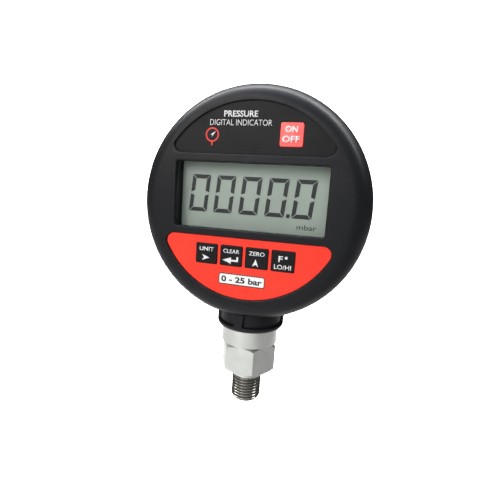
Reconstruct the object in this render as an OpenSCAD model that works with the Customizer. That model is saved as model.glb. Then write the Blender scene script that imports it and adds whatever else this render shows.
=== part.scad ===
// Digital pressure gauge in a one-piece rubber boot.
// Origin: on the axis of the process thread, at the open end of the spigot.
// +Z is up, along that axis. -Y is the front, where the display looks. Millimetres.

/* [Boot] */
// Outer diameter of the boot at its widest
boot_d = 92.6; // [92:0.1:96]
// Depth of the boot from front to back
boot_depth = 38; // [38:0.5:42]
// Thickness of the rubber over the front of the case
boot_skin = 1.6; // [1.4:0.1:1.8]
// Diameter of the opening in the back of the boot
boot_back_d = 77; // [76:0.5:78]
// Outer diameter of the neck around the sensor
neck_d = 29.4; // [29:0.1:31]
// Height of the neck's lower edge above the end of the spigot
neck_bottom_z = 35.1; // [34.5:0.1:36]

/* [Face] */
// Height of the dial's centre above the end of the spigot
dial_z = 88; // [88:0.1:90]
// Radius of the upper half-moon window
upper_r = 38.9; // [38.5:0.1:39]
// Height of the upper window's straight edge above the dial's centre
upper_edge = 19; // [18.8:0.1:19.5]
// Radius of the lower half-moon window
lower_r = 37.3; // [36.8:0.1:37.5]
// Depth of the lower window's straight edge below the dial's centre
lower_edge = 12.9; // [12.8:0.1:13.2]
// Width of the display window
lcd_w = 60; // [59:0.1:60]
// Height of the display window
lcd_h = 25.7; // [25:0.1:25.7]
// Height of the display window's centre above the dial's centre
lcd_z = 2.95; // [2.9:0.01:3]

/* [Keys] */
// Width of a function key
key_w = 9; // [8.5:0.1:9]
// Height of a function key
key_h = 8; // [7.5:0.1:8]
// Distance from one function key to the next
key_pitch = 10.34; // [10.3:0.01:10.5]
// Depth of the function keys' centres below the dial's centre
key_z = 20.17; // [20:0.01:20.4]
// Side of the square power key
power_w = 8.7; // [8.5:0.1:9.1]
// Power key's centre to the right of the dial's centre
power_x = 15; // [14.8:0.1:15.3]
// Power key's centre above the dial's centre
power_z = 26.45; // [26.3:0.05:26.6]
// Travel of every key
key_travel = 0.5; // [0.3:0.05:0.5]

/* [Process connection] */
// Major diameter of the G 1/4 parallel thread
thread_d = 13.157; // [13.1:0.001:13.2]
// Pitch of the thread, 19 to the inch
thread_pitch = 1.337; // [1.3:0.001:1.35]
// Number of thread crests
thread_turns = 7; // [6:1:7]
// Hexagon across its flats
hex_af = 22; // [21:0.5:22]
// Length of the hexagon
hex_len = 12.3; // [11.8:0.1:12.3]
// Turn of the hexagon about the stem
hex_turn = -6; // [-30:0.5:30]
// Bore of the pressure port
port_d = 5; // [4:0.5:6]
// Diameter of the metal sensor body
sensor_d = 24.7; // [24.4:0.1:24.8]

/* [Case] */
// Outer diameter of the plastic case
case_d = 83.6; // [83:0.1:83.6]
// Wall thickness of the case
case_wall = 2.2; // [2:0.1:2.4]
// Radius of the circle that the case screws lie on
case_screw_r = 34.6; // [34.5:0.1:34.8]

/* [Hidden] */

$fn = 96;
eps = 0.01;
fit = 0.15;
arc_steps = 48;
corner_steps = 8;

// Front-to-back stations, measured along Y from the stem axis.
boot_front = -boot_depth / 2;
boot_back = boot_depth / 2;
cover_front = boot_front + boot_skin;
cover_t = 2.6;
cover_back = cover_front + cover_t;
gasket_t = 0.8;
housing_front = cover_back + gasket_t;
housing_back = boot_back - 2;
back_wall = 3.6;
housing_floor = housing_back - back_wall;
label_front = boot_front + 0.75;
label_t = 0.3;
key_front = boot_front + 0.3;
lens_gasket_t = 0.4;
lens_front = cover_back + lens_gasket_t;
lens_t = 1.5;
glass_front = lens_front + lens_t + 0.4;
glass_t = 2;
board_front = -7;
board_t = 1.6;
board_back = board_front + board_t;
plunger_front = -12;
plunger_r = 1.7;
switch_front = -10.5;
plunger_back = switch_front + 1.2;

// Boot profile.
boot_r = boot_d / 2;
round_depth = 8.6;
flat_r = 41;
round_r = (pow(boot_r - flat_r, 2) + pow(round_depth, 2)) / (2 * (boot_r - flat_r));
back_round = 4;
cavity_r = case_d / 2 + 0.2;
neck_r = neck_d / 2;
neck_lip = 2.6;
neck_round = 2;
neck_pocket = 1.3;
neck_top_z = dial_z - boot_r + 4;
neck_seat_r = 13.8;
pocket_z = neck_bottom_z + neck_lip;
pocket_top = 43.7;
pocket_out = 4;
rib_w = 4;
rib_r = neck_r - 0.2;
rib_root = 3;
front_rib = -97;
left_rib = 193;
right_rib = 15;
flare_r = 5;
flare_z = 38;
flare_angle = 70;
fin_r = 19.2;
fin_z = 43.2;
fin_top = 47;

upper_corner = 3.2;
lower_corner = 3.2;

// Case.
case_r = case_d / 2;
inner_r = case_r - case_wall;
lip_r = inner_r - 0.3;
lip_t = 1.1;
lens_w = 62;
key_flange_w = 1.1;
key_flange_h = 1.8;
key_stem_r = 2.4;
lip_len = 3;
boss_r = 3;
boss_split = -9;
screw_d = 3;
screw_head_d = 5.5;
screw_head_t = 1.9;
screw_sink = 2.6;
screw_tip = -15.6;
screw_angles = [90, 2, 178, -57, -123];
post_r = 2.3;
post_points = [[25, 25], [-25, 25], [30, -17], [-30, -17]];
post_screw_d = 2;

// Battery compartment, centred on its own height above the dial's centre.
bay_z = 3.5;
bay_w = 51;
bay_h = 26;
bay_wall = 1.5;
bay_front = 3;
door_w = 60;
door_h = 31;
door_r = 4;
door_front = 15;
door_gasket_t = 0.5;
door_screw_x = 27.7;
door_screw_d = 2.5;
door_screw_head_d = 4.4;
door_screw_sink = 1.2;
cell_d = 10.5;
cell_y = 8.6;
cell_pitch = 12;
cell_body = 43.5;
cell_nub = 1;
cell_end_x = 24.9;
spring_wire = 0.7;

// Stem, from the spigot's end upward.
thread_depth = 0.856;
crest_w = 0.2;
thread_start = 1.9;
spigot_len = 15;
hex_top = spigot_len + hex_len;
hex_chamfer = 1.21;
hex_face_r = hex_af / 2 - 0.2;
hex_cut_r = hex_af / 2 + 1.9;
adapter_seal_r = 11;
seal_gap = 0.35;
sensor_bottom = hex_top + seal_gap;
sensor_top = 44.5;
stem_seal_t = 1;
seat_z = sensor_top + stem_seal_t;
pad_top = 50.4;
sensor_neck_r = 8;
sensor_seat_r = 13.5;
sensor_pad_r = 11;
sensor_neck_top = 57;
sensor_bore_r = 9.7;
sensor_bore_top = 40.5;
adapter_spigot_r = 9.6;
adapter_spigot_top = 31.5;
capsule_bottom = 32.2;
capsule_top = 40.3;
nut_af = 20;
nut_t = 5;
port_len = 12;
passage_d = 2.5;
lead_r = 1.2;
lead_route = [[0, 0, 56.9], [0, 0, 60], [0, -0.4, 62.5], [0, -1.5, 65], [0, -2.8, 67.5],
    [0, -3.5, 70], [0, -3.6, 72]];

// Keys, each as [centre right of the dial's centre, centre above it, width, height].
function power_place() = [power_x, power_z, power_w, power_w];
function row_place(i) = [(i - 1.5) * key_pitch, -key_z, key_w, key_h];
function all_places() = concat([power_place()], [for (i = [0:3]) row_place(i)]);

// Range plate, stuck on the lower label.
plate_x = -0.4;
plate_z = -29.5;
plate_w = 19;
plate_h = 4.55;

boot_black = "#2b2c30";
case_black = "#232427";
key_black = "#17171a";
key_red = "#f4504a";
label_red = "#ff4b3c";
label_grey = "#343437";
steel = "#c8cac4";
dark_steel = "#7d7f80";
board_green = "#2f6b45";

// A flat outline seen from the front, X to the right and Y upward, given thickness behind front_y.
module dial_part(front_y, thick) {
    translate([0, front_y + thick, dial_z])
        rotate([90, 0, 0])
            linear_extrude(thick)
                children();
}

// A profile of [radius, depth behind y] turned about the dial's own axis.
module dial_turn(y) {
    translate([0, y, dial_z])
        rotate([-90, 0, 0])
            rotate_extrude()
                children();
}

// A round bar along Y between two stations.
module dial_rod(x, z, r, y0, y1) {
    translate([x, y0, dial_z + z])
        rotate([-90, 0, 0])
            cylinder(r = r, h = y1 - y0);
}

module rounded_rect(w, h, r) {
    square([w - 2 * r, h], center = true);
    square([w, h - 2 * r], center = true);
    for (sx = [-1, 1], sy = [-1, 1])
        translate([sx * (w / 2 - r), sy * (h / 2 - r)])
            circle(r);
}

// Points along an arc from angle a0 to a1, both ends included.
function arc(x, y, r, a0, a1, steps) =
    [for (i = [0:steps]) let (a = a0 + (a1 - a0) * i / steps) [x + r * cos(a), y + r * sin(a)]];

// The part of a disc above a chord, with its two corners rounded.
module half_moon(r, chord, corner) {
    cy = chord + corner;
    cx = sqrt(pow(r - corner, 2) - pow(cy, 2));
    touch = atan2(cy, cx);
    step = (180 - 2 * touch) / arc_steps;
    polygon(concat(
        arc(cx, cy, corner, -90, touch, corner_steps),
        arc(0, 0, r, touch + step, 180 - touch - step, arc_steps - 2),
        arc(-cx, cy, corner, 180 - touch, 270, corner_steps)
    ));
}

module upper_window(inset) {
    half_moon(upper_r - inset, upper_edge + inset, upper_corner - inset);
}

module lower_window(inset) {
    mirror([0, 1])
        half_moon(lower_r - inset, lower_edge + inset, lower_corner - inset);
}

module lcd_window(grow) {
    translate([0, lcd_z])
        rounded_rect(lcd_w + 2 * grow, lcd_h + 2 * grow, 1);
}

module key_outline(place, grow, corner) {
    translate([place[0], place[1]])
        rounded_rect(place[2] + 2 * grow, place[3] + 2 * grow, corner);
}

module key_holes(grow) {
    for (place = all_places())
        key_outline(place, grow, 0.7);
}

// ---- Boot ----

// Outer half of the boot's section: flat front, rounded shoulder, straight side, rounded back corner.
module boot_section() {
    square([flat_r, boot_depth]);
    intersection() {
        translate([boot_r - round_r, round_depth])
            circle(round_r);
        square([boot_r, round_depth]);
    }
    translate([0, round_depth])
        square([boot_r, boot_depth - round_depth - back_round]);
    translate([0, round_depth])
        square([boot_r - back_round, boot_depth - round_depth]);
    translate([boot_r - back_round, boot_depth - back_round])
        circle(back_round);
}

module neck_solid() {
    translate([0, 0, neck_bottom_z])
        rotate_extrude()
            polygon(concat(
                [[0, 0]],
                arc(neck_r - neck_round, neck_round, neck_round, -90, 0, corner_steps),
                [[neck_r, neck_lip], [neck_r - neck_pocket, neck_lip]],
                [[neck_r - neck_pocket, neck_top_z - neck_bottom_z], [0, neck_top_z - neck_bottom_z]]
            ));
    for (angle = [left_rib, front_rib])
        neck_rib(angle, [[neck_top_z, rib_r]]);
    // The right rib flares out into a fin under the ring
    neck_rib(right_rib, concat(
        [for (p = arc(0, 0, flare_r, 0, flare_angle, corner_steps))
            [flare_z + p[1], rib_r + flare_r - p[0]]],
        [[fin_z, fin_r], [fin_top, fin_r]]
    ));
}

// A rib on the neck, from its lip up into the ring; edge lists [height, radius] along its outside.
module neck_rib(angle, edge) {
    top_z = edge[len(edge) - 1][0];
    rotate([0, 0, angle])
        translate([0, rib_w / 2, 0])
            rotate([90, 0, 0])
                linear_extrude(rib_w)
                    polygon(concat(
                        [[neck_r - rib_root, pocket_z - 0.5], [rib_r, pocket_z - 0.5]],
                        [for (p = edge) [p[1], p[0]]],
                        [[neck_r - rib_root, top_z]]
                    ));
}

// The pockets on both sides of the front rib, which run a little way up into the ring.
module neck_pockets() {
    half = rib_w / 2 / neck_r * 180 / PI + 0.7;
    for (span = [[front_rib + half, right_rib - half], [left_rib - 360 + half, front_rib - half]])
        intersection() {
            flat_ring(neck_r - neck_pocket, neck_r + pocket_out, pocket_z, pocket_top - pocket_z);
            translate([0, 0, pocket_z - 1])
                linear_extrude(pocket_top - pocket_z + 2)
                    polygon(concat([[0, 0]], arc(0, 0, 2 * neck_r, span[0], span[1], 3)));
        }
}

module boot() {
    color(boot_black)
        difference() {
            union() {
                dial_turn(boot_front)
                    boot_section();
                neck_solid();
            }
            // Room for the case
            dial_turn(cover_front)
                square([cavity_r, housing_back - cover_front]);
            // Opening in the back
            dial_turn(housing_back - eps)
                square([boot_back_d / 2, boot_depth]);
            // Windows in the front
            dial_part(boot_front - 1, boot_skin + 2) {
                upper_window(0);
                lower_window(0);
                lcd_window(0);
            }
            // Bore for the sensor body, and the wider seat of the case above it
            translate([0, 0, neck_bottom_z - 1])
                cylinder(d = sensor_d + 0.5, h = 20);
            translate([0, 0, sensor_top])
                cylinder(r = neck_seat_r, h = 8);
            neck_pockets();
        }
}

// ---- Case ----

module screw_points() {
    for (angle = screw_angles)
        translate([case_screw_r * cos(angle), 0, dial_z + case_screw_r * sin(angle)])
            rotate([-90, 0, 0])
                children();
}

module front_cover() {
    color(case_black)
        difference() {
            union() {
                dial_turn(cover_front)
                    union() {
                        square([case_r - 1, cover_t]);
                        translate([0, 1])
                            square([case_r, cover_t - 1]);
                        translate([case_r - 1, 1])
                            circle(1);
                    }
                // Locating lip that enters the housing
                dial_turn(cover_back - eps)
                    translate([lip_r - lip_t, 0])
                        square([lip_t, lip_len]);
                // Pads that back the two labels
                dial_part(label_front + label_t, 1) {
                    upper_window(fit);
                    lower_window(fit);
                }
                screw_points()
                    translate([0, 0, cover_back - eps])
                        cylinder(r = boss_r, h = boss_split - cover_back);
                for (p = post_points)
                    dial_rod(p[0], p[1], post_r, cover_back - eps, board_front);
            }
            dial_part(boot_front, 10)
                lcd_window(0);
            dial_part(boot_front, 10)
                key_holes(fit);
            screw_points()
                translate([0, 0, cover_back - 1.2])
                    cylinder(d = screw_d + 0.1, h = 10);
            for (p = post_points)
                dial_rod(p[0], p[1], post_screw_d / 2 + 0.05, board_front - 5, board_front + 1);
            // Room for the clamp nut at the bottom of the lip
            translate([-13, cover_back, dial_z - case_r])
                cube([26, 10, 9]);
        }
}

module bay_box(grow, y0, y1) {
    translate([-bay_w / 2 - grow, y0, dial_z + bay_z - bay_h / 2 - grow])
        cube([bay_w + 2 * grow, y1 - y0, bay_h + 2 * grow]);
}

module rear_housing() {
    color(case_black)
        difference() {
            union() {
                difference() {
                    dial_turn(housing_front)
                        union() {
                            square([case_r - 3, housing_back - housing_front]);
                            square([case_r, housing_back - housing_front - 3]);
                            translate([case_r - 3, housing_back - housing_front - 3])
                                circle(3);
                        }
                    dial_turn(housing_front - eps)
                        square([inner_r, housing_floor - housing_front]);
                }
                // Seat for the sensor, outside and inside the wall
                translate([0, 0, seat_z])
                    cylinder(r = sensor_seat_r, h = 4);
                translate([0, 0, seat_z])
                    cylinder(r = sensor_pad_r, h = pad_top - seat_z);
                screw_points()
                    translate([0, 0, boss_split + 0.1])
                        cylinder(r = boss_r, h = housing_floor - boss_split);
                bay_box(bay_wall, bay_front - 1.2, housing_floor + eps);
                for (side = [-1, 1])
                    dial_rod(side * door_screw_x, bay_z, 2.8, 6, housing_floor + eps);
            }
            bay_box(0, bay_front, housing_floor + 5);
            // Seat for the battery door
            dial_part(door_front - door_gasket_t, 10)
                translate([0, bay_z])
                    rounded_rect(door_w + 0.4, door_h + 0.4, door_r);
            for (side = [-1, 1])
                dial_rod(side * door_screw_x, bay_z, door_screw_d / 2 + 0.05, 7, 20);
            screw_points()
                translate([0, 0, boss_split - 1])
                    cylinder(d = screw_d + 0.4, h = 40);
            screw_points()
                translate([0, 0, housing_back - screw_sink])
                    cylinder(d = screw_head_d + 0.4, h = 10);
            translate([0, 0, seat_z - 1])
                cylinder(r = sensor_neck_r + 0.25, h = 10);
        }
}

module housing_gasket() {
    color("#3b3f45")
        dial_turn(cover_back + 0.02)
            translate([lip_r + 0.3, 0])
                square([1.6, gasket_t - 0.04]);
}

// A screw with its head at the top of its own Z, the tip downward, and a hexagon socket.
module socket_screw(shank_d, length, head_d, head_t) {
    difference() {
        union() {
            translate([0, 0, -length])
                cylinder(d = shank_d, h = length + eps);
            cylinder(d = head_d, h = head_t);
        }
        translate([0, 0, head_t * 0.4])
            cylinder(d = shank_d * 0.95, h = head_t, $fn = 6);
    }
}

module housing_screws() {
    head_y = housing_back - screw_sink;
    color(steel)
        screw_points()
            translate([0, 0, head_y])
                socket_screw(screw_d, head_y - screw_tip, screw_head_d, screw_head_t);
}

// ---- Labels and window ----

module upper_label() {
    color(label_grey)
        dial_part(label_front, label_t)
            difference() {
                upper_window(fit);
                key_holes(fit);
            }
}

module lower_label() {
    color(label_red)
        dial_part(label_front, label_t)
            difference() {
                lower_window(fit);
                key_holes(fit);
            }
}

module range_plate() {
    color("white")
        dial_part(label_front - 0.15, 0.15)
            translate([plate_x, plate_z])
                rounded_rect(plate_w, plate_h, 1);
}

module window_gasket() {
    color("#202226")
        dial_part(cover_back, lens_gasket_t)
            translate([0, lcd_z])
                difference() {
                    square([lens_w, lcd_h + 2], center = true);
                    square([lcd_w + 0.4, lcd_h + 0.4], center = true);
                }
}

module window_lens() {
    color("#dfe8e2")
        dial_part(lens_front, lens_t)
            translate([0, lcd_z])
                square([lens_w, lcd_h + 2], center = true);
}

// ---- Display and board ----

module lcd_frame() {
    color("#1c1c1f")
        dial_part(lens_front + lens_t + 0.1, board_front - lens_front - lens_t - 0.1)
            translate([0, lcd_z])
                difference() {
                    square([lens_w, 30], center = true);
                    square([60.2, 27.2], center = true);
                }
}

module lcd_glass() {
    color("#9fac99")
        dial_part(glass_front, glass_t)
            translate([0, lcd_z])
                square([60, 27], center = true);
}

module backlight() {
    color("#e8eee6")
        dial_part(glass_front + glass_t + 0.1, 2.6)
            translate([0, lcd_z])
                rounded_rect(59, 22.4, 0.6);
}

module contact_strips() {
    strip_y = glass_front + glass_t;
    color("#6d7178")
        for (side = [-1, 1])
            translate([-27, strip_y, dial_z + lcd_z + side * 12.4 - 0.8])
                cube([54, board_front - strip_y, 1.6]);
}

module main_board() {
    color(board_green)
        dial_part(board_front, board_t)
            difference() {
                intersection() {
                    circle(37);
                    translate([-40, -30])
                        square([80, 80]);
                }
                for (angle = screw_angles)
                    rotate(angle)
                        translate([case_screw_r, 0])
                            circle(boss_r + 0.6);
                for (p = post_points)
                    translate(p)
                        circle(post_screw_d / 2 + 0.1);
            }
}

module board_screws() {
    color(steel)
        for (p = post_points)
            translate([p[0], board_back, dial_z + p[1]])
                rotate([-90, 0, 0])
                    socket_screw(post_screw_d, board_t + 4.5, 3.8, 1.4);
}

module board_chips() {
    color("#26272b") {
        // Processor, converter, memory, crystal and the two supply capacitors
        for (chip = [[-10, 20, 10, 10, 1.4], [8, 22, 7, 7, 1.2], [20, 12, 5, 4, 1.2], [-22, 8, 8, 3.4, 2.4],
                [20, -8, 6, 3.2, 2.2], [-20, -10, 6, 3.2, 2.2]])
            translate([chip[0], board_back, dial_z + chip[1]])
                translate([-chip[2] / 2, 0, -chip[3] / 2])
                    cube([chip[2], chip[4], chip[3]]);
    }
}

module key_switches() {
    color("#4a4c50")
        for (place = all_places())
            difference() {
                translate([place[0] - 3, switch_front, dial_z + place[1] - 3])
                    cube([6, board_front - switch_front, 6]);
                dial_rod(place[0], place[1], plunger_r + fit, switch_front - 1, plunger_back + key_travel + 0.4);
            }
}

// ---- Keys ----

module key_cap(place, paint) {
    color(paint) {
        dial_part(key_front, cover_back + 0.1 - key_front + eps)
            key_outline(place, 0, 0.6);
        // Flange that keeps the key in the cover
        dial_part(cover_back + 0.1, 0.8)
            translate([place[0], place[1]])
                rounded_rect(place[2] + key_flange_w, place[3] + key_flange_h, 0.6);
        dial_rod(place[0], place[1], key_stem_r, cover_back + 0.9 - eps, plunger_front);
    }
}

module plunger(place) {
    color("#8a8c90")
        dial_rod(place[0], place[1], plunger_r, plunger_front, plunger_back);
}

module power_key() {
    key_cap(power_place(), key_red);
}

module units_key() {
    key_cap(row_place(0), key_black);
}

module clear_key() {
    key_cap(row_place(1), key_black);
}

module zero_key() {
    key_cap(row_place(2), key_black);
}

module function_key() {
    key_cap(row_place(3), key_black);
}

module power_plunger() {
    plunger(power_place());
}

module units_plunger() {
    plunger(row_place(0));
}

module clear_plunger() {
    plunger(row_place(1));
}

module zero_plunger() {
    plunger(row_place(2));
}

module function_plunger() {
    plunger(row_place(3));
}

// ---- Sensor and process connection ----

module sensor_body() {
    color(steel)
        difference() {
            union() {
                translate([0, 0, sensor_bottom])
                    cylinder(d = sensor_d, h = sensor_top - sensor_bottom);
                translate([0, 0, sensor_top - eps])
                    cylinder(r = sensor_neck_r, h = sensor_neck_top - sensor_top);
            }
            cylinder(r = sensor_bore_r, h = sensor_bore_top);
            cylinder(r = 3, h = sensor_neck_top + 1);
        }
}

module sensor_capsule() {
    color(dark_steel)
        translate([0, 0, capsule_bottom])
            difference() {
                cylinder(r = 9.5, h = capsule_top - capsule_bottom);
                translate([0, 0, -1])
                    cylinder(r = 5, h = 2.2);
                translate([0, 0, 5])
                    difference() {
                        cylinder(r = 10, h = 1);
                        translate([0, 0, -1])
                            cylinder(r = 8.9, h = 3);
                    }
            }
}

module flat_ring(r_in, r_out, z, thick) {
    translate([0, 0, z])
        difference() {
            cylinder(r = r_out, h = thick);
            translate([0, 0, -1])
                cylinder(r = r_in, h = thick + 2);
        }
}

module sensor_seal() {
    color("#1d1e20")
        flat_ring(5.4, 8.6, adapter_spigot_top, capsule_bottom - adapter_spigot_top);
}

module adapter_seal() {
    color("#26282b")
        flat_ring(adapter_spigot_r + 0.1, adapter_seal_r, hex_top, seal_gap);
}

module stem_seal() {
    color("#26282b")
        flat_ring(sensor_neck_r + 0.2, 11.8, sensor_top, stem_seal_t);
}

module clamp_nut() {
    color(steel)
        translate([0, 0, pad_top])
            rotate([0, 0, 30])
                difference() {
                    cylinder(d = nut_af / cos(30), h = nut_t, $fn = 6);
                    translate([0, 0, -1])
                        cylinder(r = sensor_neck_r + 0.05, h = nut_t + 2);
                }
}

// Half of the spigot's section: chamfered end, threaded length, plain neck under the hexagon.
module spigot_section() {
    crest_r = thread_d / 2;
    root_r = crest_r - thread_depth;
    flank = (thread_pitch - crest_w) / 2 - 0.1;
    thread_end = thread_start + thread_turns * thread_pitch;
    polygon(concat(
        [[0, 0], [root_r, 0], [root_r + 0.35, 0.6], [root_r, 1.2]],
        [for (i = [0:thread_turns - 1], step = [0:3])
            let (z = thread_start + i * thread_pitch)
                step == 0 ? [root_r, z - flank] :
                step == 1 ? [crest_r, z] :
                step == 2 ? [crest_r, z + crest_w] :
                [root_r, z + crest_w + flank]],
        [[root_r, thread_end + 0.2], [7.1, thread_end + 1.2], [7.1, spigot_len + 1], [0, spigot_len + 1]]
    ));
}

module hex_adapter() {
    color(steel)
        difference() {
            union() {
                rotate_extrude()
                    spigot_section();
                intersection() {
                    translate([0, 0, spigot_len])
                        rotate([0, 0, hex_turn])
                            cylinder(d = hex_af / cos(30), h = hex_len, $fn = 6);
                    // Turned chamfers on both ends of the hexagon
                    translate([0, 0, spigot_len])
                        rotate_extrude()
                            polygon([
                                [0, 0], [hex_face_r, 0], [hex_cut_r, hex_chamfer],
                                [hex_cut_r, hex_len - hex_chamfer], [hex_face_r, hex_len],
                                [0, hex_len]
                            ]);
                }
                translate([0, 0, hex_top - eps])
                    cylinder(r = adapter_spigot_r, h = adapter_spigot_top - hex_top + eps);
            }
            translate([0, 0, -1])
                cylinder(d = port_d, h = port_len + 1);
            cylinder(d = passage_d, h = adapter_spigot_top);
            translate([0, 0, adapter_spigot_top - 2])
                cylinder(r = 4.5, h = 5);
        }
}

module lead_connector() {
    color("#e6e2d4")
        translate([-4, board_back, lead_route[len(lead_route) - 1][2]])
            cube([8, 4, 5]);
}

// A round tube swept along a route of points, with 10 sides.
module swept_tube(route, r, sides = 10) {
    last = len(route) - 1;
    ring = [for (i = [0:last])
        let (
            before = route[max(i - 1, 0)],
            after = route[min(i + 1, last)],
            along = (after - before) / norm(after - before),
            side = [1, 0, 0],
            up = cross(along, side)
        )
            for (k = [0:sides - 1])
                route[i] + r * (cos(360 * k / sides) * side + sin(360 * k / sides) * up)];
    polyhedron(
        points = ring,
        faces = concat(
            [[for (k = [0:sides - 1]) k]],
            [for (i = [0:last - 1], k = [0:sides - 1])
                [i * sides + k, (i + 1) * sides + k, (i + 1) * sides + (k + 1) % sides, i * sides + (k + 1) % sides]],
            [[for (k = [sides - 1:-1:0]) last * sides + k]]
        ),
        convexity = 4
    );
}

module sensor_lead() {
    color("#b8b4a6")
        swept_tube(lead_route, lead_r);
}

// ---- Batteries ----

module battery_door() {
    color(case_black)
        difference() {
            union() {
                dial_part(door_front, housing_back - door_front)
                    translate([0, bay_z])
                        rounded_rect(door_w, door_h, door_r - 0.2);
                // Two ribs that hold the cells down
                for (side = [-1, 1])
                    translate([side * 12 - 0.6, cell_y + cell_d / 2 + 0.1, dial_z + bay_z - 11])
                        cube([1.2, door_front - cell_y - cell_d / 2, 22]);
            }
            for (side = [-1, 1]) {
                dial_rod(side * door_screw_x, bay_z, door_screw_d / 2 + 0.2, 10, 20);
                dial_rod(side * door_screw_x, bay_z, door_screw_head_d / 2 + 0.2, housing_back - door_screw_sink, 20);
            }
            // Shallow finger grooves across the door
            for (i = [-2:2])
                translate([-9, housing_back - 0.4, dial_z + bay_z + i * 2.4 - 0.5])
                    cube([18, 1, 1]);
        }
}

module door_gasket() {
    color("#3b3f45")
        dial_part(door_front - door_gasket_t + 0.02, door_gasket_t - 0.04)
            translate([0, bay_z])
                difference() {
                    rounded_rect(door_w, door_h, door_r - 0.2);
                    square([bay_w + 0.4, bay_h + 0.4], center = true);
                    for (side = [-1, 1])
                        translate([side * door_screw_x, 0])
                            circle(d = door_screw_d + 0.4);
                }
}

module door_screws() {
    head_y = housing_back - door_screw_sink;
    color(steel)
        for (side = [-1, 1])
            translate([side * door_screw_x, head_y, dial_z + bay_z])
                rotate([-90, 0, 0])
                    socket_screw(door_screw_d, 7.5, door_screw_head_d, 1.1);
}

// A cell lying along X with its button at +X.
module cell() {
    rotate([0, 90, 0]) {
        cylinder(d = cell_d, h = cell_body);
        translate([0, 0, cell_body - eps])
            cylinder(d = 3.8, h = cell_nub);
    }
}

module battery_upper() {
    color("#3f4a52")
        translate([cell_end_x - cell_body - cell_nub, cell_y, dial_z + bay_z + cell_pitch / 2])
            cell();
}

module battery_lower() {
    color("#3f4a52")
        translate([-cell_end_x + cell_body + cell_nub, cell_y, dial_z + bay_z - cell_pitch / 2])
            mirror([1, 0, 0])
                cell();
}

// Coil spring at the flat end of each cell.
module battery_spring(length) {
    turns = 3;
    steps = 12;
    last = turns * steps;
    sides = 6;
    inner = spring_wire / 2;
    ring = [for (i = [0:last], k = [0:sides - 1])
        let (
            r = 2.2 + 1.6 * i / last + inner * cos(360 * k / sides),
            a = 360 * i / steps
        )
            [inner + (length - spring_wire) * i / last + inner * sin(360 * k / sides), r * cos(a), r * sin(a)]];
    polyhedron(
        points = ring,
        faces = concat(
            [[for (k = [sides - 1:-1:0]) k]],
            [for (i = [0:last - 1], k = [0:sides - 1])
                [i * sides + k, i * sides + (k + 1) % sides, (i + 1) * sides + (k + 1) % sides, (i + 1) * sides + k]],
            [[for (k = [0:sides - 1]) last * sides + k]]
        ),
        convexity = 6
    );
}

module battery_springs() {
    gap = bay_w / 2 - 0.5 - (cell_body + cell_nub - cell_end_x);
    color(steel) {
        translate([cell_end_x - cell_body - cell_nub, cell_y, dial_z + bay_z + cell_pitch / 2])
            mirror([1, 0, 0])
                battery_spring(gap);
        translate([-cell_end_x + cell_body + cell_nub, cell_y, dial_z + bay_z - cell_pitch / 2])
            battery_spring(gap);
    }
}

module battery_contacts() {
    color(steel)
        for (side = [-1, 1], row = [-1, 1])
            translate([
                side > 0 ? cell_end_x + 0.1 : -bay_w / 2 + 0.02,
                cell_y - 4.5,
                dial_z + bay_z + row * cell_pitch / 2 - 4.5
            ])
                cube([bay_w / 2 - cell_end_x - 0.12, 9, 9]);
}

boot();
front_cover();
rear_housing();
housing_gasket();
housing_screws();
upper_label();
lower_label();
range_plate();
window_lens();
window_gasket();
lcd_frame();
lcd_glass();
backlight();
contact_strips();
main_board();
board_screws();
board_chips();
key_switches();
power_key();
units_key();
clear_key();
zero_key();
function_key();
power_plunger();
units_plunger();
clear_plunger();
zero_plunger();
function_plunger();
sensor_body();
sensor_capsule();
sensor_seal();
adapter_seal();
hex_adapter();
stem_seal();
clamp_nut();
sensor_lead();
lead_connector();
battery_door();
door_gasket();
door_screws();
battery_upper();
battery_lower();
battery_springs();
battery_contacts();
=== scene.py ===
"""Looks of a digital pressure gauge in a rubber boot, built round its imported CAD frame."""

import math

import bmesh
import bpy
from mathutils import Matrix, Vector
from mathutils.geometry import tessellate_polygon


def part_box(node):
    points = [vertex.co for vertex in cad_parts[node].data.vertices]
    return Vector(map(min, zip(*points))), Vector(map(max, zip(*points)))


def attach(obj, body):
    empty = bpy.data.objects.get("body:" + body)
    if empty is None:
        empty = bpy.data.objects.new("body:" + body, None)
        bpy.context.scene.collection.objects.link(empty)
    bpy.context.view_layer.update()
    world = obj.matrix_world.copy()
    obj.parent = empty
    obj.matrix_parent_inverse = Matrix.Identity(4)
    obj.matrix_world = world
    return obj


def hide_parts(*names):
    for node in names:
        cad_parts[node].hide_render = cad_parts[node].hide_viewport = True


MM = 0.001
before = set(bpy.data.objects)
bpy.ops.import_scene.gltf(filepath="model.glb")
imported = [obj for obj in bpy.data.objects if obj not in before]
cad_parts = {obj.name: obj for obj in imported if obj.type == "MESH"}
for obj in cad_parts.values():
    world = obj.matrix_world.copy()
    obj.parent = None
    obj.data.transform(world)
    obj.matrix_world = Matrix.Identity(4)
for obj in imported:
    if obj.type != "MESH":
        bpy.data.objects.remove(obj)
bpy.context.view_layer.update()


# ---------------------------------------------------------------- sizes, in millimetres


def box_mm(node):
    """Lowest and highest corner of a CAD node, in millimetres."""
    low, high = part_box(node)
    return low / MM, high / MM


BOOT_LOW, BOOT_HIGH = box_mm("boot")
BOOT_R = (BOOT_HIGH.x - BOOT_LOW.x) / 2
FRONT = BOOT_LOW.y
BACK = BOOT_HIGH.y
DIAL_Z = BOOT_HIGH.z - BOOT_R
NECK_Z = BOOT_LOW.z

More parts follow.
